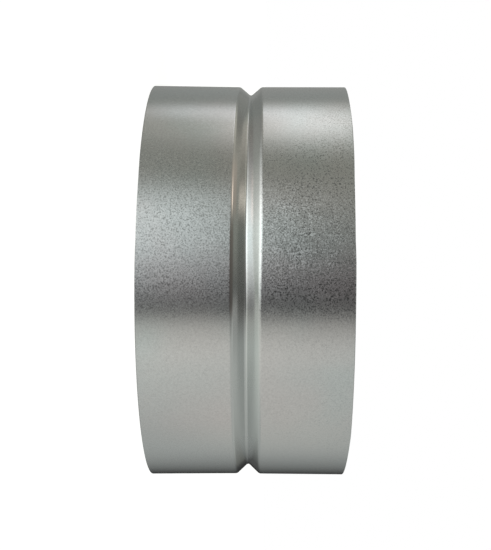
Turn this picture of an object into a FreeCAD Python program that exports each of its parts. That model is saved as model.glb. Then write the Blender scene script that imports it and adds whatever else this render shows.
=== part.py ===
"""Galvanised duct connector: a short sleeve of thin sheet steel with a V-groove rolled in round its middle.

A strip is cut, rolled round, lapped on itself and seam-welded, and then bead-rolled, so it is one piece.
A length of round duct is pushed over each end as far as the groove, and air passes through the bore.
The sleeve stands on its lower rim: the origin is the centre of that rim, +Z runs up the sleeve's axis,
and the lapped seam is on the +Y side.
"""

import FreeCAD
import Part
import Sketcher
import math
import os

NODE_NAME = "connector_sleeve"

# Driving dimensions in millimetres and degrees: alias, value and what it measures.
DIMENSIONS = [
    ("outer_diameter", 124.0, "outside of the sleeve, which slips into a 125 mm duct"),
    ("sleeve_length", 60.0, "from rim to rim"),
    ("sheet_thickness", 0.5, "galvanised sheet"),
    ("groove_depth", 2.9, "outside of the wall to the bottom of the groove"),
    ("flank_angle", 40.0, "slope of the groove's flanks against the axis"),
    ("shoulder_bend_radius", 1.0, "inside bend radius where the wall turns into a flank"),
    ("root_bend_radius", 0.9, "inside bend radius at the bottom of the groove"),
    ("lap_width", 8.0, "overlap of the strip's two ends, measured round the sleeve"),
    ("joggle_length", 2.5, "ramp that sets the strip's inner end in by one thickness"),
]

# Angles round the axis that the lap and the joggle take up, in degrees.
LAP_ANGLE = "dims.lap_width / (dims.outer_diameter / 2) * 180 / pi"
JOGGLE_ANGLE = "dims.joggle_length / (dims.outer_diameter / 2) * 180 / pi"

# The strip's two layers at the seam: the wall outside, and the tongue one thickness further in.
WALL_LAYER = 0
TONGUE_LAYER = 1

# Sketcher's numbers for a line's or arc's points, for the horizontal axis and for the origin.
START, END, CENTRE = 1, 2, 3
HORIZONTAL_AXIS = -1
ORIGIN = (-1, 1)


def make_dimension_sheet(doc):
    """Puts the driving dimensions into a spreadsheet, each in a cell with an alias."""
    sheet = doc.addObject("Spreadsheet::Sheet", "dims")
    for row, (alias, value, meaning) in enumerate(DIMENSIONS, start=1):
        sheet.set(f"A{row}", alias)
        sheet.set(f"B{row}", str(value))
        sheet.set(f"C{row}", meaning)
        sheet.setAlias(f"B{row}", alias)
    doc.recompute()
    return sheet


def section_layout(sheet, layer):
    """Where the section's lines and arcs lie, as (radius, height) pairs, before they are constrained."""
    thickness = sheet.sheet_thickness
    flank = math.radians(sheet.flank_angle)
    wall_radius = sheet.outer_diameter / 2
    middle = sheet.sleeve_length / 2
    shoulder_outside = sheet.shoulder_bend_radius + thickness
    bends = shoulder_outside + sheet.root_bend_radius
    straight = (sheet.groove_depth - bends * (1 - math.cos(flank))) / math.sin(flank)
    half_width = bends * math.sin(flank) + straight * math.cos(flank)
    return {
        "flank": flank,
        "length": sheet.sleeve_length,
        "lower_shoulder": (wall_radius - shoulder_outside, middle - half_width),
        "upper_shoulder": (wall_radius - shoulder_outside, middle + half_width),
        "root": (wall_radius - sheet.groove_depth + sheet.root_bend_radius, middle),
        "outside": {
            "wall": wall_radius - layer * thickness,
            "shoulder": shoulder_outside - layer * thickness,
            "root": sheet.root_bend_radius + layer * thickness,
        },
        "inside": {
            "wall": wall_radius - (layer + 1) * thickness,
            "shoulder": shoulder_outside - (layer + 1) * thickness,
            "root": sheet.root_bend_radius + (layer + 1) * thickness,
        },
    }


def point_on(centre, radius, angle):
    """The point of a circle at that angle, in the sketch's plane."""
    return centre[0] + radius * math.cos(angle), centre[1] + radius * math.sin(angle)


def add_line(sketch, start, end):
    return sketch.addGeometry(Part.LineSegment(FreeCAD.Vector(*start, 0), FreeCAD.Vector(*end, 0)), False)


def add_arc(sketch, centre, radius, first_angle, last_angle):
    circle = Part.Circle(FreeCAD.Vector(*centre, 0), FreeCAD.Vector(0, 0, 1), radius)
    return sketch.addGeometry(Part.ArcOfCircle(circle, first_angle, last_angle), False)


def draw_sheet_face(sketch, layout, side):
    """One face of the sheet, rim to rim: wall, shoulder bend, flank, root bend, flank, shoulder bend, wall."""
    sizes = layout[side]
    flank = layout["flank"]
    lower, upper, root = layout["lower_shoulder"], layout["upper_shoulder"], layout["root"]
    bend_start = point_on(lower, sizes["shoulder"], flank)
    root_start = point_on(root, sizes["root"], math.pi + flank)
    root_end = point_on(root, sizes["root"], math.pi - flank)
    bend_end = point_on(upper, sizes["shoulder"], -flank)
    face = {
        "lower_wall": add_line(sketch, (sizes["wall"], 0), (sizes["wall"], lower[1])),
        "lower_bend": add_arc(sketch, lower, sizes["shoulder"], 0, flank),
        "lower_flank": add_line(sketch, bend_start, root_start),
        "root": add_arc(sketch, root, sizes["root"], math.pi - flank, math.pi + flank),
        "upper_flank": add_line(sketch, root_end, bend_end),
        "upper_bend": add_arc(sketch, upper, sizes["shoulder"], -flank, 0),
        "upper_wall": add_line(sketch, (sizes["wall"], upper[1]), (sizes["wall"], layout["length"])),
    }
    tangents = [
        ("lower_wall", END, "lower_bend", START),
        ("lower_bend", END, "lower_flank", START),
        ("lower_flank", END, "root", END),
        ("root", START, "upper_flank", START),
        ("upper_flank", END, "upper_bend", START),
        ("upper_bend", END, "upper_wall", START),
    ]
    for first, first_end, second, second_end in tangents:
        sketch.addConstraint(
            Sketcher.Constraint("Tangent", face[first], first_end, face[second], second_end)
        )
    for wall in ("lower_wall", "upper_wall"):
        sketch.addConstraint(Sketcher.Constraint("Vertical", face[wall]))
    sketch.addConstraint(Sketcher.Constraint("Equal", face["lower_bend"], face["upper_bend"]))
    return face


def set_size(sketch, name, kind, places, value, expression):
    """Adds a named size to a sketch and binds it to the dimension sheet."""
    index = sketch.addConstraint(Sketcher.Constraint(kind, *places, value))
    sketch.renameConstraint(index, name)
    sketch.setExpression(f"Constraints.{name}", expression)


def size_sheet_section(sketch, layout, layer, outside, inside, upper_rim):
    """Binds every size of a sheet section to the dimension sheet."""
    set_size(
        sketch,
        "length",
        "DistanceY",
        (*ORIGIN, upper_rim, END),
        layout["length"],
        "dims.sleeve_length",
    )
    for wall in ("lower_wall", "upper_wall"):
        set_size(
            sketch,
            f"{wall}_radius",
            "DistanceX",
            (*ORIGIN, outside[wall], END),
            layout["outside"]["wall"],
            f"dims.outer_diameter / 2 - {layer} * dims.sheet_thickness",
        )
    for side, face, layers_in in (("outside", outside, layer), ("inside", inside, layer + 1)):
        set_size(
            sketch,
            f"shoulder_{side}_radius",
            "Radius",
            (face["lower_bend"],),
            layout[side]["shoulder"],
            f"dims.shoulder_bend_radius + {1 - layers_in} * dims.sheet_thickness",
        )
        set_size(
            sketch,
            f"root_{side}_radius",
            "Radius",
            (face["root"],),
            layout[side]["root"],
            f"dims.root_bend_radius + {layers_in} * dims.sheet_thickness",
        )
    set_size(
        sketch,
        "root_centre_radius",
        "DistanceX",
        (*ORIGIN, outside["root"], CENTRE),
        layout["root"][0],
        "dims.outer_diameter / 2 - dims.groove_depth + dims.root_bend_radius",
    )
    set_size(
        sketch,
        "root_centre_height",
        "DistanceY",
        (*ORIGIN, outside["root"], CENTRE),
        layout["root"][1],
        "dims.sleeve_length / 2",
    )
    set_size(
        sketch,
        "lower_flank_slope",
        "Angle",
        (outside["lower_flank"],),
        math.pi / 2 + layout["flank"],
        "90 + dims.flank_angle",
    )
    set_size(
        sketch,
        "upper_flank_slope",
        "Angle",
        (outside["upper_flank"],),
        math.pi / 2 - layout["flank"],
        "90 - dims.flank_angle",
    )


def draw_sheet_section(body, sheet, name, layer, turned_back_by=None):
    """The sheet cut across: a closed outline one thickness wide, in a plane through the axis at the seam.

    A section that is turned back stands that many degrees clockwise of the seam, seen from above.
    """
    sketch = body.newObject("Sketcher::SketchObject", name)
    plane = next(feature for feature in body.Origin.OriginFeatures if feature.Role == "YZ_Plane")
    sketch.AttachmentSupport = [(plane, "")]
    sketch.MapMode = "FlatFace"
    if turned_back_by:
        clockwise = FreeCAD.Rotation(FreeCAD.Vector(0, -1, 0), 1)
        sketch.AttachmentOffset = FreeCAD.Placement(FreeCAD.Vector(), clockwise)
        sketch.setExpression("AttachmentOffset.Rotation.Angle", turned_back_by)

    layout = section_layout(sheet, layer)
    outside = draw_sheet_face(sketch, layout, "outside")
    inside = draw_sheet_face(sketch, layout, "inside")
    rims = {}
    for wall, wall_end, height in (("lower_wall", START, 0), ("upper_wall", END, layout["length"])):
        rim = add_line(sketch, (layout["inside"]["wall"], height), (layout["outside"]["wall"], height))
        sketch.addConstraint(Sketcher.Constraint("Coincident", rim, START, inside[wall], wall_end))
        sketch.addConstraint(Sketcher.Constraint("Coincident", rim, END, outside[wall], wall_end))
        sketch.addConstraint(Sketcher.Constraint("Horizontal", rim))
        rims[wall] = rim
    for bend in ("lower_bend", "root", "upper_bend"):
        sketch.addConstraint(
            Sketcher.Constraint("Coincident", outside[bend], CENTRE, inside[bend], CENTRE)
        )
    sketch.addConstraint(
        Sketcher.Constraint("PointOnObject", rims["lower_wall"], END, HORIZONTAL_AXIS)
    )
    size_sheet_section(sketch, layout, layer, outside, inside, rims["upper_wall"])
    return sketch


def roll_section(body, name, section, angle):
    """Turns a sheet section about the sleeve's axis, anticlockwise seen from above."""
    rolled = body.newObject("PartDesign::Revolution", name)
    rolled.Profile = section
    rolled.ReferenceAxis = (section, ["V_Axis"])
    rolled.setExpression("Angle", angle)
    body.Document.recompute()
    return rolled


def make_sleeve(doc, sheet):
    """The rolled strip: its wall, the joggle that leads inwards, and the tongue welded inside the lap."""
    body = doc.addObject("PartDesign::Body", NODE_NAME)
    body.Label = NODE_NAME

    wall_section = draw_sheet_section(body, sheet, "wall_section", WALL_LAYER)
    roll_section(body, "rolled_wall", wall_section, f"360 - {JOGGLE_ANGLE}")

    joggle_start = draw_sheet_section(body, sheet, "joggle_section", WALL_LAYER, JOGGLE_ANGLE)
    tongue_section = draw_sheet_section(body, sheet, "tongue_section", TONGUE_LAYER)
    joggle = body.newObject("PartDesign::AdditiveLoft", "joggle")
    joggle.Profile = joggle_start
    joggle.Sections = [tongue_section]
    joggle.Ruled = True
    doc.recompute()
    roll_section(body, "lap_tongue", tongue_section, LAP_ANGLE)
    return body


def check_document(doc):
    """Stops the build if any object failed to recompute."""
    failed = [obj.Name for obj in doc.Objects if "Invalid" in obj.State or "Error" in obj.State]
    if failed:
        raise RuntimeError(f"these objects failed: {failed}")


def check_shape(body):
    """Stops the build unless the piece is one valid closed solid."""
    shape = body.Shape
    if shape.isNull() or not shape.isValid():
        raise RuntimeError(f"{body.Label} has no valid shape")
    if len(shape.Solids) != 1 or not shape.Solids[0].isClosed():
        raise RuntimeError(f"{body.Label} is not one closed solid")


def main():
    doc = FreeCAD.newDocument("duct_connector")
    sheet = make_dimension_sheet(doc)
    sleeve = make_sleeve(doc, sheet)
    doc.recompute()
    check_document(doc)
    check_shape(sleeve)
    os.makedirs("parts", exist_ok=True)
    sleeve.Shape.exportStep(os.path.join("parts", f"{sleeve.Label}.step"))
    print(f"{sleeve.Label}: {sleeve.Shape.Volume:.1f} mm3, {len(sleeve.Shape.Faces)} faces")


main()
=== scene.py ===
"""Dresses the duct connector: a rolled, seam-welded sleeve of galvanised sheet, stood on its rim."""

import math
from collections import namedtuple

import bpy
from bpy.props import FloatProperty, FloatVectorProperty, PointerProperty
from mathutils import Matrix, Vector


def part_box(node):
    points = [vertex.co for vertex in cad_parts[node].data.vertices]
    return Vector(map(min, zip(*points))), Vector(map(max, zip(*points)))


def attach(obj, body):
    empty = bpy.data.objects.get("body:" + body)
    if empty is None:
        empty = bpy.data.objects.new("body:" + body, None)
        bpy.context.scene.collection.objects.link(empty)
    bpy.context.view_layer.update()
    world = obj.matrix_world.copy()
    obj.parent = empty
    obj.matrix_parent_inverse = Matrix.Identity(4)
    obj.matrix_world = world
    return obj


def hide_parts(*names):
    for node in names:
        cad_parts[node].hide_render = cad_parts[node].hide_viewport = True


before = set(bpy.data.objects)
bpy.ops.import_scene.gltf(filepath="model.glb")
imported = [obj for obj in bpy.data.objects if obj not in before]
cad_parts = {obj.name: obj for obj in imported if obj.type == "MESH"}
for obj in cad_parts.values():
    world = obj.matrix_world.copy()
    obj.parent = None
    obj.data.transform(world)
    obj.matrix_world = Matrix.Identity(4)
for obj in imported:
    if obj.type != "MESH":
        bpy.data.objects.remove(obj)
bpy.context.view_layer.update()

bl_info = {
    "name": "Galvanised Duct Connector",
    "version": (1, 0, 0),
    "blender": (4, 5, 0),
    "location": "3D View > Sidebar > Duct",
    "description": "Builds a rolled and seam-welded duct connector, and the studio it stands in",
    "category": "Add Mesh",
}

SLEEVE_NODE = "connector_sleeve"

MM = 0.001
SLEEVE_LOW, SLEEVE_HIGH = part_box(SLEEVE_NODE)
SLEEVE_RADIUS = min(-SLEEVE_LOW.x, -SLEEVE_LOW.y, SLEEVE_HIGH.x, SLEEVE_HIGH.y)
SLEEVE_LENGTH = SLEEVE_HIGH.z - SLEEVE_LOW.z


def length(name, description, millimetres):
    """A length that a user can set, in metres."""
    return FloatProperty(
        name=name,
        description=description,
        default=millimetres * MM,
        min=0.0,
        precision=5,
        unit="LENGTH",
        subtype="DISTANCE",
    )


def angle(name, description, degrees):
    """An angle that a user can set, in radians."""
    return FloatProperty(
        name=name,
        description=description,
        default=math.radians(degrees),
        unit="ROTATION",
        subtype="ANGLE",
    )


def share(name, description, default):
    """A plain number from 0 to 1 that a user can set."""
    return FloatProperty(
        name=name,
        description=description,
        default=default,
        min=0.0,
        max=1.0,
        subtype="FACTOR",
    )


def colour(name, description, default):
    """A linear colour that a user can set."""
    return FloatVectorProperty(
        name=name,
        description=description,
        default=default,
        size=3,
        min=0.0,
        max=1.0,
        subtype="COLOR",
    )


class DuctSleeveShape(bpy.types.PropertyGroup):
    """The rolled strip's own sizes. The sleeve's length and diameter come from the frame."""

    sheet_thickness: length("Sheet Thickness", "Thickness of the galvanised sheet", 0.5)
    groove_depth: length("Groove Depth", "Outside of the wall to the bottom of the groove", 2.9)
    flank_angle: angle("Flank Angle", "Slope of the groove's flanks against the axis", 40.0)
    shoulder_radius: length("Shoulder Radius", "Outside radius where the wall turns into a flank", 1.6)
    root_radius: length("Root Radius", "Outside radius at the bottom of the groove", 0.9)
    groove_offset: length("Groove Offset", "How far above the middle the groove runs", 0.11)
    groove_wander: length("Groove Wander", "How far the groove strays up and down on its way round", 0.09)
    groove_swing: share("Groove Swing", "How much the groove's depth varies on its way round", 0.075)
    groove_pinch: share("Groove Pinch", "How much narrower the groove is on the sleeve's two sides", 0.11)
    groove_skew: length("Groove Skew", "How far the groove was bent out of line on one side", 0.15)
    lower_draw: length("Lower Draw", "How far the groove's rolling drew in the lower wall beside it", 0.37)
    upper_draw: length("Upper Draw", "How much smaller in radius the upper wall was rolled", 0.36)
    rim_rounding: length("Rim Rounding", "Radius of the sheared rim's two edges", 0.08)
    rim_dip: length("Rim Dip", "How far the upper rim falls short on the sleeve's two sides", 0.55)
    rim_hollow: length("Rim Hollow", "How far the upper rim is hollowed, a little to one side", 0.17)
    waviness: length("Waviness", "How far the rolled wall strays inwards from a true circle", 0.03)
    lap_width: length("Lap Width", "Overlap of the strip's two ends, measured round the sleeve", 8.0)
    joggle_length: length("Joggle Length", "Ramp that sets the strip's inner end in by one thickness", 2.5)
    lap_gap: length("Lap Gap", "Air between the two layers of the lap", 0.01)
    weld_width: length("Weld Width", "Width of the track that the seam-welding wheel left", 4.2)
    weld_pitch: length("Weld Pitch", "Distance between the weld's nuggets", 2.6)
    weld_depth: length("Weld Depth", "How deep the wheel pressed each nugget", 0.07)


class DuctZincFinish(bpy.types.PropertyGroup):
    """The look of the zinc."""

    zinc: colour("Zinc", "Reflected colour of the clean zinc", (0.70, 0.70, 0.70))
    cool_zinc: colour("Cool Zinc", "Colour of the cooler clouds in the zinc", (0.675, 0.703, 0.703))
    warm_zinc: colour("Warm Zinc", "Colour of the warmer clouds in the zinc", (0.725, 0.698, 0.697))
    # A slightly cooler zinc, used towards +X.
    zinc_towards_plus_x: colour("Sheltered Zinc", "Colour of the zinc that lay sheltered", (0.681, 0.70, 0.696))
    # Bare sheared steel at the lower rim, darker than its own colour to paint the shade of a dark line along
    # that rim.
    cut_steel_and_shade: colour("Cut Edge", "Colour of the sheared steel at the lower rim", (0.45, 0.45, 0.45))
    mill_edge: colour("Mill Edge", "Colour of the strip's own edge at the upper rim", (0.60, 0.60, 0.60))
    heat_tint: colour("Heat Tint", "Colour of the zinc that the weld scorched", (0.36, 0.345, 0.33))
    wall_roughness: share("Wall Roughness", "Roughness of the temper-rolled wall", 0.19)
    groove_roughness: share("Groove Roughness", "Roughness of the burnished groove", 0.14)
    dull_groove: share("Dull Groove", "Roughness of the groove where it is hardly burnished", 0.30)
    grain_size: length("Grain Size", "Distance between the facets of the zinc's grain", 0.40)
    grain_lean: share("Grain Lean", "How far the facets of the zinc's grain lean out of the sheet", 0.075)
    pit_lean: share("Pit Lean", "How much further the pits lean", 0.025)
    pit: colour("Pit", "Colour of the stained pits in the zinc", (0.16, 0.165, 0.17))
    pit_stain: share("Pit Stain", "How much of the pits' stain shows", 0.75)
    fleck: colour("Fleck", "Colour of the bright flecks in the zinc", (0.95, 0.96, 0.95))
    fleck_shine: share("Fleck Shine", "How much of the flecks' brightness shows", 0.75)
    calm_grain: share("Calm Grain", "What is left of the grain where the zinc isn't weathered", 0.40)
    mottle: share("Mottle", "How much the zinc's tone varies from spot to spot", 0.15)
    # Painted shade: the colour of a dark warm line along the lower shoulder.
    shoulder_shade: colour("Rubbed Steel", "Colour where the lower shoulder was rubbed", (0.42, 0.365, 0.35))
    # Painted highlight: the colour of a bright pinkish line along the lower shoulder.
    shoulder_highlight: colour("Polished Steel", "Colour where that was rubbed bright", (0.95, 0.83, 0.80))


class DuctStudio(bpy.types.PropertyGroup):
    """The camera and the floor."""

    lens: FloatProperty(
        name="Lens",
        description="Focal length of the camera",
        default=75.57,
        unit="CAMERA",
    )
    distance: length("Distance", "Camera to the middle of the sleeve", 373.41)
    across: length("Across", "How far the sleeve's middle lies right of the picture's", 1.45)
    down: length("Down", "How far the sleeve's middle lies below the picture's", 1.66)
    yaw: angle("Yaw", "Turn of the sleeve's axis away from the camera, to the right", -1.427)
    roll: angle("Roll", "Tilt of the sleeve's axis in the picture, downwards to the right", 0.339)
    floor: colour("Floor", "Colour of the pale floor", (0.88, 0.88, 0.88))
    floor_size: length("Floor Size", "Side of the square floor", 8000.0)


# A soft threshold: the value where something starts to show, and the value where it shows in full.
Fade = namedtuple("Fade", "start end")


class Socket:
    """A shader socket in Python maths: an expression on it adds the Math nodes that work it out."""

    def __init__(self, graph, socket):
        self.graph = graph
        self.socket = socket

    def __add__(self, other):
        return self.graph.math("ADD", self, other)

    def __radd__(self, other):
        return self.graph.math("ADD", other, self)

    def __sub__(self, other):
        return self.graph.math("SUBTRACT", self, other)

    def __rsub__(self, other):
        return self.graph.math("SUBTRACT", other, self)

    def __mul__(self, other):
        return self.graph.math("MULTIPLY", self, other)

    def __rmul__(self, other):
        return self.graph.math("MULTIPLY", other, self)

    def __truediv__(self, other):
        return self.graph.math("DIVIDE", self, other)

    def __abs__(self):
        return self.graph.math("ABSOLUTE", self)

    def __neg__(self):
        return self.graph.math("MULTIPLY", self, -1.0)


class ShaderGraph:
    """Adds nodes to a material's or a world's tree."""

    def __init__(self, owner):
        owner.use_nodes = True
        self.tree = owner.node_tree
        self.tree.nodes.clear()

    def node(self, kind, settings=None, sockets=None):
        """Adds a node, sets its settings, then its sockets' values or links, and returns its outputs."""
        made = self.tree.nodes.new(kind)
        for name, value in (settings or {}).items():
            setattr(made, name, value)
        for name, value in (sockets or {}).items():
            target = self.find_input(made, name)
            if isinstance(value, Socket):
                self.tree.links.new(value.socket, target)
            else:
                target.default_value = value
        return {output.name: Socket(self, output) for output in made.outputs if output.enabled}

    def find_input(self, made, name):
        """The input with that identifier, or else the one in use with that name."""
        for socket in made.inputs:
            if socket.identifier == name:
                return socket
        return next(socket for socket in made.inputs if socket.enabled and socket.name == name)

    def math(self, operation, *values):
        names = ("Value", "Value_001", "Value_002")
        return self.node("ShaderNodeMath", {"operation": operation}, dict(zip(names, values)))["Value"]

    def fade(self, value, fade):
        """0 before the fade's start, 1 past its end, and an even S-curve between them."""
        stops = {"From Min": fade.start, "From Max": fade.end}
        if fade.end < fade.start:
            stops = {"From Min": fade.end, "From Max": fade.start, "To Min": 1.0, "To Max": 0.0}
        settings = {"interpolation_type": "SMOOTHSTEP"}
        return self.node("ShaderNodeMapRange", settings, {"Value": value, **stops})["Result"]

    def mix_colour(self, factor, first, second):
        sockets = {"Factor": factor, "A": first, "B": second}
        return self.node("ShaderNodeMix", {"data_type": "RGBA"}, sockets)["Result"]

    def scale_colour(self, colour, factor):
        sockets = {"Vector": colour, "Scale": factor}
        return self.node("ShaderNodeVectorMath", {"operation": "SCALE"}, sockets)["Vector"]

    def noise(self, vector, size, detail=2.0, roughness=0.5):
        """Soft noise whose lumps are about that many metres apart."""
        sockets = {"Vector": vector, "Scale": 1.0 / size, "Detail": detail, "Roughness": roughness}
        return self.node("ShaderNodeTexNoise", {}, sockets)["Fac"]

    def normal(self):
        return self.node("ShaderNodeNewGeometry")["Normal"]

    def xyz(self, vector):
        parts = self.node("ShaderNodeSeparateXYZ", {}, {"Vector": vector})
        return parts["X"], parts["Y"], parts["Z"]

    def vector(self, x, y, z):
        return self.node("ShaderNodeCombineXYZ", {}, {"X": x, "Y": y, "Z": z})["Vector"]


def opaque(rgb):
    """A colour property as the four numbers that a colour socket takes."""
    return (rgb[0], rgb[1], rgb[2], 1.0)


def eased(value, fade):
    """0 at the fade's start, 1 at its end, and an even S-curve between them."""
    place = min(max((value - fade.start) / (fade.end - fade.start), 0.0), 1.0)
    return place * place * (3 - 2 * place)


# A station of the sheet's section: a point on its outside, the way out from there, how far along the sheet
# it is, and how deep its outer and inner faces lie under that point.
Station = namedtuple("Station", "radius height out_radial out_axial along outer_depth inner_depth")

WALL_STEPS = 42
BEND_STEPS = 9
FLANK_STEPS = 3
HALF_ROOT_STEPS = 6
RIM_STEPS = 3


def flank_length(shape):
    """Length of the straight part of a flank."""
    bends = shape.shoulder_radius + shape.root_radius
    return (shape.groove_depth - bends * (1 - math.cos(shape.flank_angle))) / math.sin(shape.flank_angle)


def wall_length(shape):
    """Height of the plain wall between a rim and the groove."""
    bends = shape.shoulder_radius + shape.root_radius
    half_groove = bends * math.sin(shape.flank_angle) + flank_length(shape) * math.cos(shape.flank_angle)
    return SLEEVE_LENGTH / 2 - half_groove


def section_line(shape):
    """Points on the sheet's outside between its rims' roundings, each with the turn of the sheet there."""
    flank = shape.flank_angle
    straight = flank_length(shape)
    wall = wall_length(shape)
    rounding = shape.rim_rounding
    middle = SLEEVE_LENGTH / 2
    shoulder_centre = SLEEVE_RADIUS - shape.shoulder_radius
    root_centre = SLEEVE_RADIUS - shape.groove_depth + shape.root_radius

    lower = []
    for step in range(WALL_STEPS + 1):
        place = (1 - math.cos(math.pi * step / WALL_STEPS)) / 2
        lower.append((SLEEVE_RADIUS, rounding + (wall - rounding) * place, 0.0))
    for step in range(1, BEND_STEPS + 1):
        turn = flank * step / BEND_STEPS
        radius = shoulder_centre + shape.shoulder_radius * math.cos(turn)
        lower.append((radius, wall + shape.shoulder_radius * math.sin(turn), turn))
    bend_end_radius, bend_end_height, flank_turn = lower[-1]
    for step in range(1, FLANK_STEPS):
        run = straight * step / FLANK_STEPS
        radius = bend_end_radius - run * math.sin(flank)
        lower.append((radius, bend_end_height + run * math.cos(flank), flank_turn))
    for step in range(HALF_ROOT_STEPS + 1):
        turn = flank * (1 - step / HALF_ROOT_STEPS)
        radius = root_centre - shape.root_radius * math.cos(turn)
        lower.append((radius, middle - shape.root_radius * math.sin(turn), turn))
    upper = [(radius, SLEEVE_LENGTH - height, -turn) for radius, height, turn in reversed(lower[:-1])]
    return lower + upper


def drawn_in(shape, height):
    """How far the sheet lies inside a true cylinder at that height."""
    wall = wall_length(shape)
    lower = shape.lower_draw * min(height / wall, 1.0)
    past_groove = min(max((height - wall) / (SLEEVE_LENGTH - 2 * wall), 0.0), 1.0)
    return lower + (shape.upper_draw - lower) * past_groove


def section_stations(shape):
    """The sheet's section as stations, with its sheared rims rounded off."""
    thickness = shape.sheet_thickness
    rounding = shape.rim_rounding
    line = section_line(shape)
    along = rounding
    stations = []
    for index, (radius, height, turn) in enumerate(line):
        if index:
            along += math.dist(line[index - 1][:2], (radius, height))
        stations.append(Station(radius, height, math.cos(turn), math.sin(turn), along, 0.0, thickness))
    lower_rim = []
    for step in range(RIM_STEPS):
        turn = math.pi / 2 * step / RIM_STEPS
        depth = rounding * (1 - math.sin(turn))
        height = rounding * (1 - math.cos(turn))
        lower_rim.append(
            stations[0]._replace(
                height=height,
                along=height,
                outer_depth=depth,
                inner_depth=thickness - depth,
            )
        )
    upper_rim = [
        stations[-1]._replace(
            height=SLEEVE_LENGTH - rim.height,
            along=along + rounding - rim.along,
            outer_depth=rim.outer_depth,
            inner_depth=rim.inner_depth,
        )
        for rim in reversed(lower_rim)
    ]
    return lower_rim + stations + upper_rim


# A column of the strip: its angle from the seam, how far it is set in, its place across the lap from 0 to 1,
# or none away from the lap, and whether it is in the lap's outer layer.
Column = namedtuple("Column", "turn inset lap_place outside_lap")

ROUND_STEPS = 236
JOGGLE_STEPS = 8
LAP_STEPS = 22


def strip_columns(shape):
    """The strip's columns: the lap's outer layer, the way round, the joggle and the lap's inner layer."""
    lap = shape.lap_width / SLEEVE_RADIUS
    joggle = shape.joggle_length / SLEEVE_RADIUS
    set_in = shape.sheet_thickness + shape.lap_gap
    full = 2 * math.pi
    columns = []
    for step in range(LAP_STEPS):
        place = step / LAP_STEPS
        columns.append(Column(lap * place, 0.0, place, True))
    for step in range(ROUND_STEPS):
        columns.append(Column(lap + (full - joggle - lap) * step / ROUND_STEPS, 0.0, None, False))
    for step in range(JOGGLE_STEPS):
        ramp = eased(step, Fade(0, JOGGLE_STEPS))
        columns.append(Column(full - joggle + joggle * step / JOGGLE_STEPS, set_in * ramp, None, False))
    for step in range(LAP_STEPS + 1):
        place = step / LAP_STEPS
        columns.append(Column(full + lap * place, set_in, place, False))
    return columns


# A wave that the bending roll left in the wall: its share of the waviness, how many times it comes on the
# way round, where it starts in radians, and how much it turns with the height in radians a metre.
Wave = namedtuple("Wave", "share turns phase climb")

WAVES = (
    Wave(1.0, 2, 0.6, 0.0),
    Wave(0.6, 3, 2.1, 25.0),
    Wave(0.5, 7, 0.9, -40.0),
    Wave(0.3, 13, 0.0, 60.0),
)


def wall_wave(shape, turn, height):
    """How far the rolled wall strays inwards at a place."""
    reach = sum(wave.share for wave in WAVES)
    stray = sum(
        wave.share * math.sin(wave.turns * turn + wave.phase + wave.climb * height)
        for wave in WAVES
    )
    return shape.waviness * (reach + stray) / (2 * reach)


# How far the nuggets' ripples bow back at the weld track's edges, in nuggets, and how deep the track lies
# between two nuggets, as a share of the nuggets' own depth.
NUGGET_BOW = 0.12
TRACK_DEPTH = 0.45


def weld_dent(shape, column, along):
    """How deep the welding wheel pressed the sheet at a place on the lap."""
    if column.lap_place is None:
        return 0.0
    off_centre = abs(column.lap_place - 0.5) * shape.lap_width / (shape.weld_width / 2)
    if off_centre >= 1.0:
        return 0.0
    ripple = abs(math.sin(math.pi * (along / shape.weld_pitch - NUGGET_BOW * off_centre * off_centre)))
    return shape.weld_depth * (1 - off_centre ** 4) * (TRACK_DEPTH + (1 - TRACK_DEPTH) * ripple)


# How the rolling went astray on its way round, where a place on that way is the sine of its angle from the
# seam. SWING_BIAS is how much more of the groove's swing is towards the shallow than towards the deep, and
# PINCH_BIAS how much more of its pinch is on one side than on the other. The skew shows between SKEW_FROM
# and SKEW_TO: there the root sinks by SKEW_SINK skews, and against the root the upper shoulder rises by one
# more than SKEW_BEND skews and the lower shoulder by one less. The upper rim dips past DIP_START, more on
# one side by DIP_BIAS. The rims are hollowed between HOLLOW_FROM and HOLLOW_TO, the lower rim LOWER_HOLLOW
# times as far as the upper one.
SWING_BIAS = 0.6
PINCH_BIAS = 0.18
SKEW_FROM = Fade(-0.1, 0.25)
SKEW_TO = Fade(0.98, 0.88)
SKEW_SINK = 1.2
SKEW_BEND = 1.9
DIP_START = 0.72
DIP_BIAS = 0.2
HOLLOW_FROM = Fade(0.08, 0.2)
HOLLOW_TO = Fade(0.6, 0.42)
LOWER_HOLLOW = 0.6


def groove_shift(shape, sideways, from_middle, half_groove):
    """How far up the groove was rolled, at a place on its way round and at a height from its middle."""
    shift = shape.groove_offset + shape.groove_wander * sideways
    shift -= shape.groove_pinch * sideways * (sideways + PINCH_BIAS) * from_middle
    skewed = eased(sideways, SKEW_FROM) * eased(sideways, SKEW_TO)
    across = from_middle / half_groove
    return shift + shape.groove_skew * skewed * (across * (1 + SKEW_BEND * across) - SKEW_SINK)


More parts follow.
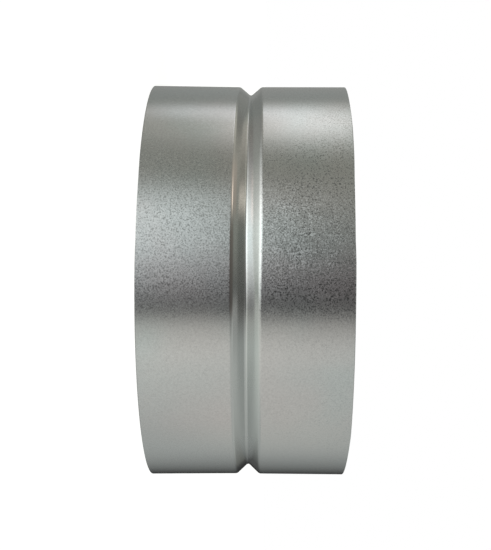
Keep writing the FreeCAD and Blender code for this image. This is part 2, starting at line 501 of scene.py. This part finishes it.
def strip_point(shape, station, column, depth):
    """A point of the strip under a station's outside, in the frame, with the seam on the +Y side."""
    inwards = column.inset + depth
    sideways = math.sin(column.turn)
    swell = -shape.groove_swing * sideways * (1 + SWING_BIAS * sideways)
    sunk = drawn_in(shape, station.height) + swell * (SLEEVE_RADIUS - station.radius)
    sunk += wall_wave(shape, column.turn, station.height)
    radius = station.radius - sunk - inwards * station.out_radial

    wall = wall_length(shape)
    half_groove = SLEEVE_LENGTH / 2 - wall
    from_middle = min(max(station.height - SLEEVE_LENGTH / 2, -half_groove), half_groove)
    shift = groove_shift(shape, sideways, from_middle, half_groove)
    to_rim = min(station.height, SLEEVE_LENGTH - station.height)
    height = station.height + shift * min(to_rim / wall, 1.0) - inwards * station.out_axial

    past_start = max(abs(sideways) - DIP_START, 0.0) / (1 - DIP_START)
    dip = shape.rim_dip * past_start * (1 - DIP_BIAS * sideways)
    hollow = shape.rim_hollow * eased(sideways, HOLLOW_FROM) * eased(sideways, HOLLOW_TO)
    before_groove = max(wall - station.height, 0.0) / wall
    past_groove = max(station.height - SLEEVE_LENGTH / 2 - half_groove, 0.0) / wall
    height += LOWER_HOLLOW * hollow * before_groove - (dip + hollow) * past_groove
    return (-radius * math.sin(column.turn), radius * math.cos(column.turn), SLEEVE_LOW.z + height)


SHARP_ANGLE = math.radians(50)


def sleeve_points(shape, stations, columns):
    """The strip's points: for each column its outside from rim to rim, and then its inside."""
    points = []
    for column in columns:
        for station in stations:
            dent = weld_dent(shape, column, station.along) if column.outside_lap else 0.0
            points.append(strip_point(shape, station, column, station.outer_depth + dent))
        for station in stations:
            dent = 0.0 if column.outside_lap else weld_dent(shape, column, station.along)
            points.append(strip_point(shape, station, column, station.inner_depth - dent))
    return points


def sleeve_mesh(shape):
    """The whole strip as one closed mesh: its outside, its inside, two rims and two ends."""
    stations = section_stations(shape)
    columns = strip_columns(shape)
    rows = len(stations)
    last_column, last_row = len(columns) - 1, rows - 1

    def outer(column, row):
        return column * 2 * rows + row

    def inner(column, row):
        return column * 2 * rows + rows + row

    faces = []
    for column in range(last_column):
        after = column + 1
        for row in range(last_row):
            up = row + 1
            faces.append((outer(column, up), outer(after, up), outer(after, row), outer(column, row)))
            faces.append((inner(column, row), inner(after, row), inner(after, up), inner(column, up)))
        faces.append((outer(column, 0), outer(after, 0), inner(after, 0), inner(column, 0)))
        over_before = (outer(column, last_row), inner(column, last_row))
        over_after = (inner(after, last_row), outer(after, last_row))
        faces.append(over_before + over_after)
    for row in range(last_row):
        up = row + 1
        faces.append((outer(0, row), inner(0, row), inner(0, up), outer(0, up)))
        outside = (outer(last_column, row), outer(last_column, up))
        faces.append(outside + (inner(last_column, up), inner(last_column, row)))

    mesh = bpy.data.meshes.new(SLEEVE_NODE)
    mesh.from_pydata(sleeve_points(shape, stations, columns), [], faces)
    mesh.shade_smooth()
    mesh.set_sharp_from_angle(angle=SHARP_ANGLE)
    mesh.update()
    return mesh


# The mean of Blender's noise.
NOISE_MIDDLE = 0.5

# Where the parts of the sheet lie: the groove, by the height from the sleeve's middle; a rim, by the height
# from it in rim roundings; the upper end, by the height in sleeve lengths; the front half, by y in radii;
# and the outer face, by how far its normal points outwards.
GROOVE_EDGE = Fade(4.6 * MM, 3.4 * MM)
RIM_EDGE = Fade(4.0, 0.5)
UPPER_END = Fade(0.5, 0.75)
FRONT_HALF = Fade(0.1, -0.1)
OUTER_FACE = Fade(-0.1, 0.1)

# Where the zinc weathered, by x in radii.
WEATHERED_FROM = Fade(-0.68, -0.50)
WEATHERED_TO = Fade(0.19, 0.10)


class SheetPlace:
    """Where a point of the sheet lies, as sockets: its place, and from 0 to 1 how far it is on each part."""

    def __init__(self, graph, shape):
        self.place = graph.node("ShaderNodeTexCoord")["Object"]
        x, y, self.height = graph.xyz(self.place)
        self.radius = graph.math("SQRT", x * x + y * y)
        self.around = graph.math("ARCTAN2", x, y) * SLEEVE_RADIUS
        self.across = x / SLEEVE_RADIUS

        middle = SLEEVE_LENGTH / 2
        from_middle = abs(self.height - middle)
        self.in_groove = graph.fade(from_middle, GROOVE_EDGE)
        self.on_rim = graph.fade((middle - from_middle) / shape.rim_rounding, RIM_EDGE)
        self.upper_end = graph.fade(self.height / SLEEVE_LENGTH, UPPER_END)

        normal_x, normal_y = graph.xyz(graph.normal())[:2]
        outwards = (normal_x * x + normal_y * y) / self.radius
        self.front = graph.fade(y / SLEEVE_RADIUS, FRONT_HALF) * graph.fade(outwards, OUTER_FACE)
        weathered = graph.fade(self.across, WEATHERED_FROM) * graph.fade(self.across, WEATHERED_TO)
        self.weathered = weathered * self.front


# How far from the weld's middle the zinc is scorched, in weld widths; how evenly; and in how large blotches.
SCORCH_EDGE = Fade(0.85, 0.25)
SCORCH_EVENNESS = 0.55
SCORCH_SIZE = 3 * MM


def weld_scorch(graph, shape, spot):
    """How much the weld scorched the zinc."""
    weld_middle = -shape.lap_width / 2
    scorched = graph.fade(abs(spot.around - weld_middle) / shape.weld_width, SCORCH_EDGE)
    blotches = graph.noise(spot.place, SCORCH_SIZE)
    return scorched * (SCORCH_EVENNESS + (1.0 - SCORCH_EVENNESS) * blotches)


# The sizes of the zinc's clouds, and the noise levels between which they turn cool and warm.
CLOUD_SIZE = 17 * MM
WARM_CLOUD_SIZE = 41 * MM
MOTTLE_SIZE = 0.6 * MM
CLEAR_OF_COOL = Fade(0.35, 0.7)
TURNING_WARM = Fade(0.42, 0.68)

# Where the zinc is tinted slightly cooler towards +X, by x in radii: in the groove, and on the walls beside
# it.
GROOVE_TOWARDS_PLUS_X = Fade(0.05, 0.3)
WALL_TOWARDS_PLUS_X = Fade(0.6, 0.8)


def zinc_colour(graph, finish, spot, clouds, scorch):
    """The zinc's colour: clouds and mottle, the weld's scorch, the bare rims with painted shade on the lower
    one, and a cooler tint towards +X.
    """
    warm_clouds = graph.noise(spot.place, WARM_CLOUD_SIZE)
    base = graph.mix_colour(graph.fade(clouds, CLEAR_OF_COOL), opaque(finish.cool_zinc), opaque(finish.zinc))
    base = graph.mix_colour(graph.fade(warm_clouds, TURNING_WARM), base, opaque(finish.warm_zinc))
    spots = graph.noise(spot.place, MOTTLE_SIZE, detail=0.0)
    base = graph.scale_colour(base, 1.0 + finish.mottle * (spots - NOISE_MIDDLE))
    base = graph.mix_colour(scorch, base, opaque(finish.heat_tint))
    # The lower rim is bare steel darkened to paint the shade of a dark edge line.
    rim = graph.mix_colour(spot.upper_end, opaque(finish.cut_steel_and_shade), opaque(finish.mill_edge))
    base = graph.mix_colour(spot.on_rim, base, rim)
    # A slightly cooler tint towards +X, in the groove and on the walls further round.
    in_groove = graph.fade(spot.across, GROOVE_TOWARDS_PLUS_X) * spot.in_groove
    on_wall = graph.fade(spot.across, WALL_TOWARDS_PLUS_X) * (1.0 - spot.in_groove)
    return graph.mix_colour(in_groove + on_wall, base, opaque(finish.zinc_towards_plus_x))


# Where the roller hardly burnished the groove, by x in radii.
DULL_FROM = Fade(0.25, 0.55)
DULL_TO = Fade(0.86, 0.70)

# The lines that the rolling mill left: their width, and how little they vary on the way round.
MILL_LINE_SIZE = 1.1 * MM
MILL_LINE_STRETCH = 0.06

# What the mill's lines, the clouds, the weld's scorch and the rims add to the roughness, and what the upper
# rim adds to that.
MILL_LINE_ROUGHNESS = 0.03
CLOUD_ROUGHNESS = 0.04
SCORCH_ROUGHNESS = 0.25
RIM_ROUGHNESS = 0.08
UPPER_RIM_ROUGHNESS = 0.22


def zinc_roughness(graph, finish, spot, clouds, scorch):
    """The zinc's roughness: rolled walls, a burnished groove, and what the weld and the shears left."""
    stretched = graph.vector(spot.around * MILL_LINE_STRETCH, spot.height, spot.radius)
    mill_lines = graph.noise(stretched, MILL_LINE_SIZE, detail=3.0, roughness=0.6)
    dulled = graph.fade(spot.across, DULL_FROM) * graph.fade(spot.across, DULL_TO)
    groove = finish.groove_roughness + (finish.dull_groove - finish.groove_roughness) * dulled
    roughness = finish.wall_roughness + (groove - finish.wall_roughness) * spot.in_groove
    roughness += MILL_LINE_ROUGHNESS * (mill_lines - NOISE_MIDDLE)
    roughness += CLOUD_ROUGHNESS * (clouds - NOISE_MIDDLE)
    roughness += SCORCH_ROUGHNESS * scorch
    roughness += (RIM_ROUGHNESS + UPPER_RIM_ROUGHNESS * spot.upper_end) * spot.on_rim
    return roughness


# The noise levels from which a facet of the grain is a pit, and below which it is a fleck; and how far apart
# the slower lumps of the grain are, and how much they lean.
PITS = Fade(0.53, 0.74)
FLECKS = Fade(0.47, 0.26)
LUMP_SIZE = 2.4 * MM
LUMP_LEAN = 0.28


def zinc_grain(graph, finish, place, amount):
    """The zinc's grain: its pits, its flecks, and the normal of its facets, which lean every way."""
    sockets = {"Vector": place, "Scale": 1.0 / finish.grain_size, "Detail": 0.0}
    facets = graph.node("ShaderNodeTexNoise", {}, sockets)["Color"]
    lean_x, lean_y, lean_z = graph.xyz(facets)
    lumps = graph.noise(place, LUMP_SIZE, detail=1.0)
    pits = graph.fade(lean_z, PITS)
    flecks = graph.fade(lean_z, FLECKS)
    upwards = finish.grain_lean * (lean_z - NOISE_MIDDLE + LUMP_LEAN * (lumps - NOISE_MIDDLE))
    lean = graph.vector(
        finish.grain_lean * (lean_x - NOISE_MIDDLE) * amount,
        finish.grain_lean * (lean_y - NOISE_MIDDLE) * amount,
        (upwards + finish.pit_lean * pits) * amount,
    )
    sockets = {"Vector": graph.normal(), "Vector_001": lean}
    leaning = graph.node("ShaderNodeVectorMath", {"operation": "ADD"}, sockets)["Vector"]
    normal = graph.node("ShaderNodeVectorMath", {"operation": "NORMALIZE"}, {"Vector": leaning})["Vector"]
    return pits, flecks, normal


# How the grain comes and goes in patches: their size, their weakest and their swing, and how much of the
# grain the bead roller smoothed out of the groove.
PATCH_SIZE = 5 * MM
PATCH_WEAKEST = 0.55
PATCH_SWING = 0.9
GROOVE_SMOOTHING = 0.85

# How far the facets lean at the lower end, and how much further at the upper one.
LOWER_LEAN = 0.48
UPPER_LEAN = 0.6

# How much of the pits and flecks shows on sound zinc, and on weathered zinc; how much less at the lower end,
# and where that was worn as well; how much deeper they are etched towards +X, on the side that lay low; and
# how far the flecks are lost at the upper end. Where it was worn and where it lay low is by x in radii.
SOUND_ETCH = 0.1
WEATHERED_ETCH = 0.9
LOWER_END_LOSS = 0.4
WORN_LOSS = 0.32
WORN_FROM = Fade(-0.48, -0.34)
WORN_TO = Fade(0.0, -0.08)
LOW_SIDE = Fade(-0.06, 0.02)
LOW_DEEPENING = 0.15
UPPER_FLECK_LOSS = 0.8

# What a pit adds to the roughness, and how much less it adds on the low side.
PIT_ROUGHNESS = 0.25
LOW_PIT_LOSS = 0.18


def weathered_zinc(graph, finish, spot, base, roughness):
    """The zinc's grain with stained pits and bright flecks: the colour, the roughness and the normal."""
    patches = PATCH_WEAKEST + PATCH_SWING * graph.noise(spot.place, PATCH_SIZE, detail=1.0)
    patches = patches * (1.0 - GROOVE_SMOOTHING * spot.in_groove)
    leaning = finish.calm_grain + (1.0 - finish.calm_grain) * spot.weathered
    leaning = leaning * (LOWER_LEAN + UPPER_LEAN * spot.upper_end) * patches
    pits, flecks, normal = zinc_grain(graph, finish, spot.place, leaning)

    worn = graph.fade(spot.across, WORN_FROM) * graph.fade(spot.across, WORN_TO)
    low = graph.fade(spot.across, LOW_SIDE)
    lost = (1.0 - spot.upper_end) * (LOWER_END_LOSS + WORN_LOSS * worn)
    etched = SOUND_ETCH + spot.weathered * (1.0 + LOW_DEEPENING * low) * (WEATHERED_ETCH - lost)
    stained = pits * etched * patches
    base = graph.mix_colour(finish.pit_stain * stained, base, opaque(finish.pit))
    bared = flecks * etched * (1.0 - UPPER_FLECK_LOSS * spot.upper_end) * patches
    base = graph.mix_colour(finish.fleck_shine * bared, base, opaque(finish.fleck))
    roughness = roughness + stained * (PIT_ROUGHNESS - LOW_PIT_LOSS * low)
    return base, roughness, normal


# Where the lower shoulder's painted lines lie: how far past its start and how far to each side of that; and
# how far round, by x in radii. A painted highlight, bright and pinkish, lies at one end, and painted shade,
# a dark warm line, at the other.
HIGHLIGHT_AT = 1.0 * MM
HIGHLIGHT_REACH = Fade(1.1 * MM, 0.3 * MM)
HIGHLIGHT_FROM = Fade(-0.60, -0.48)
HIGHLIGHT_TO = Fade(-0.24, -0.36)
SHADE_LINE_AT = 0.5 * MM
SHADE_LINE_REACH = Fade(0.75 * MM, 0.2 * MM)
SHADE_LINE_FROM = Fade(-0.34, -0.2)
SHOULDER_LINE_SHARE = 0.8


def painted_shoulder_lines(graph, shape, finish, spot, base):
    """The colour with a painted highlight and a painted shade line along the lower shoulder."""
    past_shoulder = spot.height - (SLEEVE_LOW.z + wall_length(shape))
    # Painted highlight: a bright pinkish band just past the shoulder's start.
    painted_bright = graph.fade(abs(past_shoulder - HIGHLIGHT_AT), HIGHLIGHT_REACH)
    painted_bright = painted_bright * graph.fade(spot.across, HIGHLIGHT_FROM) * graph.fade(spot.across, HIGHLIGHT_TO)
    base = graph.mix_colour(SHOULDER_LINE_SHARE * painted_bright * spot.front, base, opaque(finish.shoulder_highlight))
    # Painted shade: a dark warm band at the shoulder's start.
    painted = graph.fade(abs(past_shoulder - SHADE_LINE_AT), SHADE_LINE_REACH)
    painted = painted * graph.fade(spot.across, SHADE_LINE_FROM) * spot.weathered
    return graph.mix_colour(SHOULDER_LINE_SHARE * painted, base, opaque(finish.shoulder_shade))


def zinc_material(shape, finish):
    """Galvanised sheet: clouded zinc with a fine grain, burnished in the groove, scorched along the weld."""
    material = bpy.data.materials.new("galvanised_zinc")
    graph = ShaderGraph(material)
    spot = SheetPlace(graph, shape)
    clouds = graph.noise(spot.place, CLOUD_SIZE, detail=3.0)
    scorch = weld_scorch(graph, shape, spot)
    base = zinc_colour(graph, finish, spot, clouds, scorch)
    roughness = zinc_roughness(graph, finish, spot, clouds, scorch)
    base, roughness, normal = weathered_zinc(graph, finish, spot, base, roughness)
    # Paints a highlight and a line of shade along the lower shoulder.
    base = painted_shoulder_lines(graph, shape, finish, spot, base)
    sockets = {"Base Color": base, "Metallic": 1.0, "Roughness": roughness, "Normal": normal}
    shader = graph.node("ShaderNodeBsdfPrincipled", {}, sockets)["BSDF"]
    graph.node("ShaderNodeOutputMaterial", {}, {"Surface": shader})
    return material


# An edge of a light panel: where it is, and how far the light fades to each side of it.
Edge = namedtuple("Edge", "at soft")

# A soft light panel as the sleeve sees it: its two edges round from the camera, in degrees, towards +X; its
# lower and upper edge, as the sine of the elevation; and its colour times its strength.
Panel = namedtuple("Panel", "name turn rise light")

# Edges for a panel that goes all the way: straight behind, and past straight down and straight up.
BEHIND_LEFT = Edge(-181, 5)
BEHIND_RIGHT = Edge(181, 5)
STRAIGHT_DOWN = Edge(-1.30, 0.06)
STRAIGHT_UP = Edge(1.30, 0.06)

PANELS = (
    Panel(
        "key softbox",
        turn=(Edge(-75, 35), Edge(8, 28)),
        rise=(Edge(-0.95, 0.12), Edge(-0.27, 0.26)),
        light=(1.02, 1.05, 1.01),
    ),
    Panel(
        "key core",
        turn=(Edge(-50, 15), Edge(-3, 25)),
        rise=(Edge(-0.72, 0.01), Edge(-0.01, 0.02)),
        light=(0.57, 0.60, 0.61),
    ),
    Panel(
        "window strip",
        turn=(Edge(-114, 18), Edge(-88, 20)),
        rise=(Edge(0.0, 0.03), Edge(0.07, 0.03)),
        light=(1.10, 1.11, 1.14),
    ),
    Panel(
        "strip on the table",
        turn=(Edge(-119, 8), Edge(-108, 8)),
        rise=(Edge(-0.09, 0.02), Edge(0.02, 0.02)),
        light=(0.46, 0.45, 0.49),
    ),
    Panel(
        "side wall",
        turn=(BEHIND_LEFT, Edge(-87, 11)),
        rise=(STRAIGHT_DOWN, Edge(0.53, 0.13)),
        light=(0.12, 0.12, 0.11),
    ),
    Panel(
        "side wall above",
        turn=(Edge(-124, 14), Edge(-28, 53)),
        rise=(Edge(-0.19, 0.38), Edge(1.00, 0.50)),
        light=(0.23, 0.23, 0.19),
    ),
    Panel(
        "warm lamp",
        turn=(Edge(-60, 11), Edge(-46, 10)),
        rise=(Edge(0.47, 0.39), Edge(0.65, 0.04)),
        light=(1.31, 1.18, 1.01),
    ),
    Panel(
        "white wall",
        turn=(Edge(28, 17), Edge(135, 28)),
        rise=(Edge(-0.98, 0.08), Edge(0.96, 0.12)),
        light=(0.355, 0.365, 0.35),
    ),
    Panel(
        "white wall far",
        turn=(Edge(70, 20), Edge(113, 18)),
        rise=(Edge(-0.04, 0.015), Edge(0.07, 0.015)),
        light=(0.11, 0.09, 0.075),
    ),
    Panel(
        "white wall near",
        turn=(Edge(21, 7), Edge(55, 60)),
        rise=(Edge(-0.71, 0.42), Edge(0.10, 0.28)),
        light=(0.385, 0.39, 0.355),
    ),
    Panel(
        "table",
        turn=(BEHIND_LEFT, BEHIND_RIGHT),
        rise=(STRAIGHT_DOWN, Edge(-0.63, 0.50)),
        light=(0.20, 0.22, 0.19),
    ),
    Panel(
        "ceiling",
        turn=(BEHIND_LEFT, BEHIND_RIGHT),
        rise=(Edge(0.24, 0.04), STRAIGHT_UP),
        light=(0.06, 0.06, 0.05),
    ),
    Panel(
        "side wall far",
        turn=(BEHIND_LEFT, Edge(-129, 11)),
        rise=(Edge(-0.21, 0.24), Edge(0.19, 0.17)),
        light=(0.12, 0.125, 0.12),
    ),
    Panel(
        "room fill",
        turn=(BEHIND_LEFT, Edge(150, 14)),
        rise=(STRAIGHT_DOWN, STRAIGHT_UP),
        light=(0.045, 0.05, 0.05),
    ),
    Panel(
        "pink bounce",
        turn=(Edge(-14, 8), Edge(10, 8)),
        rise=(Edge(-0.3, 0.1), Edge(0.15, 0.1)),
        light=(0.015, 0.0, 0.005),
    ),
    Panel(
        "back fill left",
        turn=(BEHIND_LEFT, Edge(-163, 12)),
        rise=(Edge(-0.75, 0.08), Edge(-0.2, 0.08)),
        light=(0.35, 0.35, 0.35),
    ),
    Panel(
        "back fill right",
        turn=(Edge(165, 12), BEHIND_RIGHT),
        rise=(Edge(-0.75, 0.08), Edge(-0.2, 0.08)),
        light=(0.45, 0.45, 0.45),
    ),
)
ROOM_LIGHT = (0.03, 0.03, 0.03)
BACKDROP = (1.0, 1.0, 1.0)


def soft_window(graph, value, start, end):
    """1 between two soft edges and 0 outside them."""
    rising = graph.fade(value, Fade(start.at - start.soft, start.at + start.soft))
    falling = graph.fade(value, Fade(end.at + end.soft, end.at - end.soft))
    return rising * falling


def studio_world():
    """Soft light panels round the sleeve, in a dim room, with a white backdrop behind it all."""
    world = bpy.data.worlds.new("studio")
    graph = ShaderGraph(world)
    direction = graph.node("ShaderNodeTexCoord")["Generated"]
    x, y, rise = graph.xyz(direction)
    turn = graph.math("ARCTAN2", x, -y) * math.degrees(1.0)
    light = opaque(ROOM_LIGHT)
    for panel in PANELS:
        lit = soft_window(graph, turn, *panel.turn) * soft_window(graph, rise, *panel.rise)
        sockets = {"Factor": lit, "A": light, "B": opaque(panel.light)}
        light = graph.node("ShaderNodeMix", {"data_type": "RGBA", "blend_type": "ADD"}, sockets)["Result"]
    to_camera = graph.node("ShaderNodeLightPath")["Is Camera Ray"]
    seen = graph.mix_colour(to_camera, light, opaque(BACKDROP))
    surface = graph.node("ShaderNodeBackground", {}, {"Color": seen, "Strength": 1.0})["Background"]
    graph.node("ShaderNodeOutputWorld", {}, {"Surface": surface})
    return world


FLOOR_ROUGHNESS = 0.9
FLOOR_SPECULAR = 0.1
FLOOR_GLOW = 0.82
FLOOR_GAP = 0.05 * MM


def floor_material(studio):
    """A plain pale floor, lit from beneath like a light table so that it stays near white."""
    material = bpy.data.materials.new("pale_floor")
    graph = ShaderGraph(material)
    sockets = {
        "Base Color": opaque(studio.floor),
        "Roughness": FLOOR_ROUGHNESS,
        "Specular IOR Level": FLOOR_SPECULAR,
        "Emission Color": (1.0, 1.0, 1.0, 1.0),
        "Emission Strength": FLOOR_GLOW,
    }
    shader = graph.node("ShaderNodeBsdfPrincipled", {}, sockets)["BSDF"]
    graph.node("ShaderNodeOutputMaterial", {}, {"Surface": shader})
    return material


def make_floor(studio):
    """The floor under the lower rim. The metal mirrors the light panels and not the floor."""
    half = studio.floor_size / 2
    level = SLEEVE_LOW.z - FLOOR_GAP
    corners = [(-half, -half, level), (half, -half, level), (half, half, level), (-half, half, level)]
    mesh = bpy.data.meshes.new("floor")
    mesh.from_pydata(corners, [], [(0, 1, 2, 3)])
    mesh.materials.append(floor_material(studio))
    floor = bpy.data.objects.new("floor", mesh)
    floor.visible_glossy = False
    bpy.context.scene.collection.objects.link(floor)


# The camera's sensor in millimetres, and the nearest that it sees in metres.
SENSOR_WIDTH = 36.0
NEAREST_SEEN = 0.01


def make_camera(studio):
    """A camera level with the sleeve and turned on its side, so that the axis runs across the picture."""
    forward = Vector((0.0, math.cos(studio.yaw), math.sin(studio.yaw)))
    right = Vector(
        (
            -math.sin(studio.roll),
            -math.sin(studio.yaw) * math.cos(studio.roll),
            math.cos(studio.yaw) * math.cos(studio.roll),
        )
    )
    down = forward.cross(right)
    middle = Vector((0.0, 0.0, (SLEEVE_LOW.z + SLEEVE_HIGH.z) / 2))
    data = bpy.data.cameras.new("camera")
    data.sensor_fit = "AUTO"
    data.sensor_width = SENSOR_WIDTH
    data.lens = studio.lens
    data.clip_start = NEAREST_SEEN
    camera = bpy.data.objects.new("camera", data)
    facing = Matrix((right, -down, -forward)).transposed().to_4x4()
    place = middle - right * studio.across - down * studio.down - forward * studio.distance
    camera.matrix_world = Matrix.Translation(place) @ facing
    bpy.context.scene.collection.objects.link(camera)
    bpy.context.scene.camera = camera


class DUCT_OT_add_sleeve(bpy.types.Operator):
    """Builds the rolled and seam-welded sleeve in the place of its plain solid"""

    bl_idname = "duct.add_sleeve"
    bl_label = "Add Connector Sleeve"
    bl_options = {"REGISTER", "UNDO"}

    def execute(self, context):
        shape = context.scene.duct_sleeve_shape
        finish = context.scene.duct_zinc_finish
        mesh = sleeve_mesh(shape)
        mesh.materials.append(zinc_material(shape, finish))
        sleeve = bpy.data.objects.new("rolled_sleeve", mesh)
        context.scene.collection.objects.link(sleeve)
        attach(sleeve, "root")
        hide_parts(SLEEVE_NODE)
        return {"FINISHED"}


class DUCT_OT_add_stage(bpy.types.Operator):
    """Adds the pale floor, the studio's soft light and the camera"""

    bl_idname = "duct.add_stage"
    bl_label = "Add Studio"
    bl_options = {"REGISTER", "UNDO"}

    def execute(self, context):
        studio = context.scene.duct_studio
        context.scene.world = studio_world()
        context.scene.view_settings.view_transform = "Standard"
        make_floor(studio)
        make_camera(studio)
        return {"FINISHED"}


class DUCT_PT_connector(bpy.types.Panel):
    """Lists the connector's pieces and their sizes"""

    bl_idname = "DUCT_PT_connector"
    bl_label = "Duct Connector"
    bl_space_type = "VIEW_3D"
    bl_region_type = "UI"
    bl_category = "Duct"

    def draw(self, context):
        scene = context.scene
        for operator, group in (
            (DUCT_OT_add_sleeve, scene.duct_sleeve_shape),
            (None, scene.duct_zinc_finish),
            (DUCT_OT_add_stage, scene.duct_studio),
        ):
            box = self.layout.box()
            if operator:
                box.operator(operator.bl_idname)
            for name in group.bl_rna.properties.keys():
                if name not in ("rna_type", "name"):
                    box.prop(group, name)


CLASSES = (
    DuctSleeveShape,
    DuctZincFinish,
    DuctStudio,
    DUCT_OT_add_sleeve,
    DUCT_OT_add_stage,
    DUCT_PT_connector,
)


def register():
    for cls in CLASSES:
        bpy.utils.register_class(cls)
    bpy.types.Scene.duct_sleeve_shape = PointerProperty(type=DuctSleeveShape)
    bpy.types.Scene.duct_zinc_finish = PointerProperty(type=DuctZincFinish)
    bpy.types.Scene.duct_studio = PointerProperty(type=DuctStudio)


def unregister():
    del bpy.types.Scene.duct_studio
    del bpy.types.Scene.duct_zinc_finish
    del bpy.types.Scene.duct_sleeve_shape
    for cls in reversed(CLASSES):
        bpy.utils.unregister_class(cls)


def main():
    register()
    bpy.ops.duct.add_sleeve()
    bpy.ops.duct.add_stage()


if __name__ == "__main__":
    main()
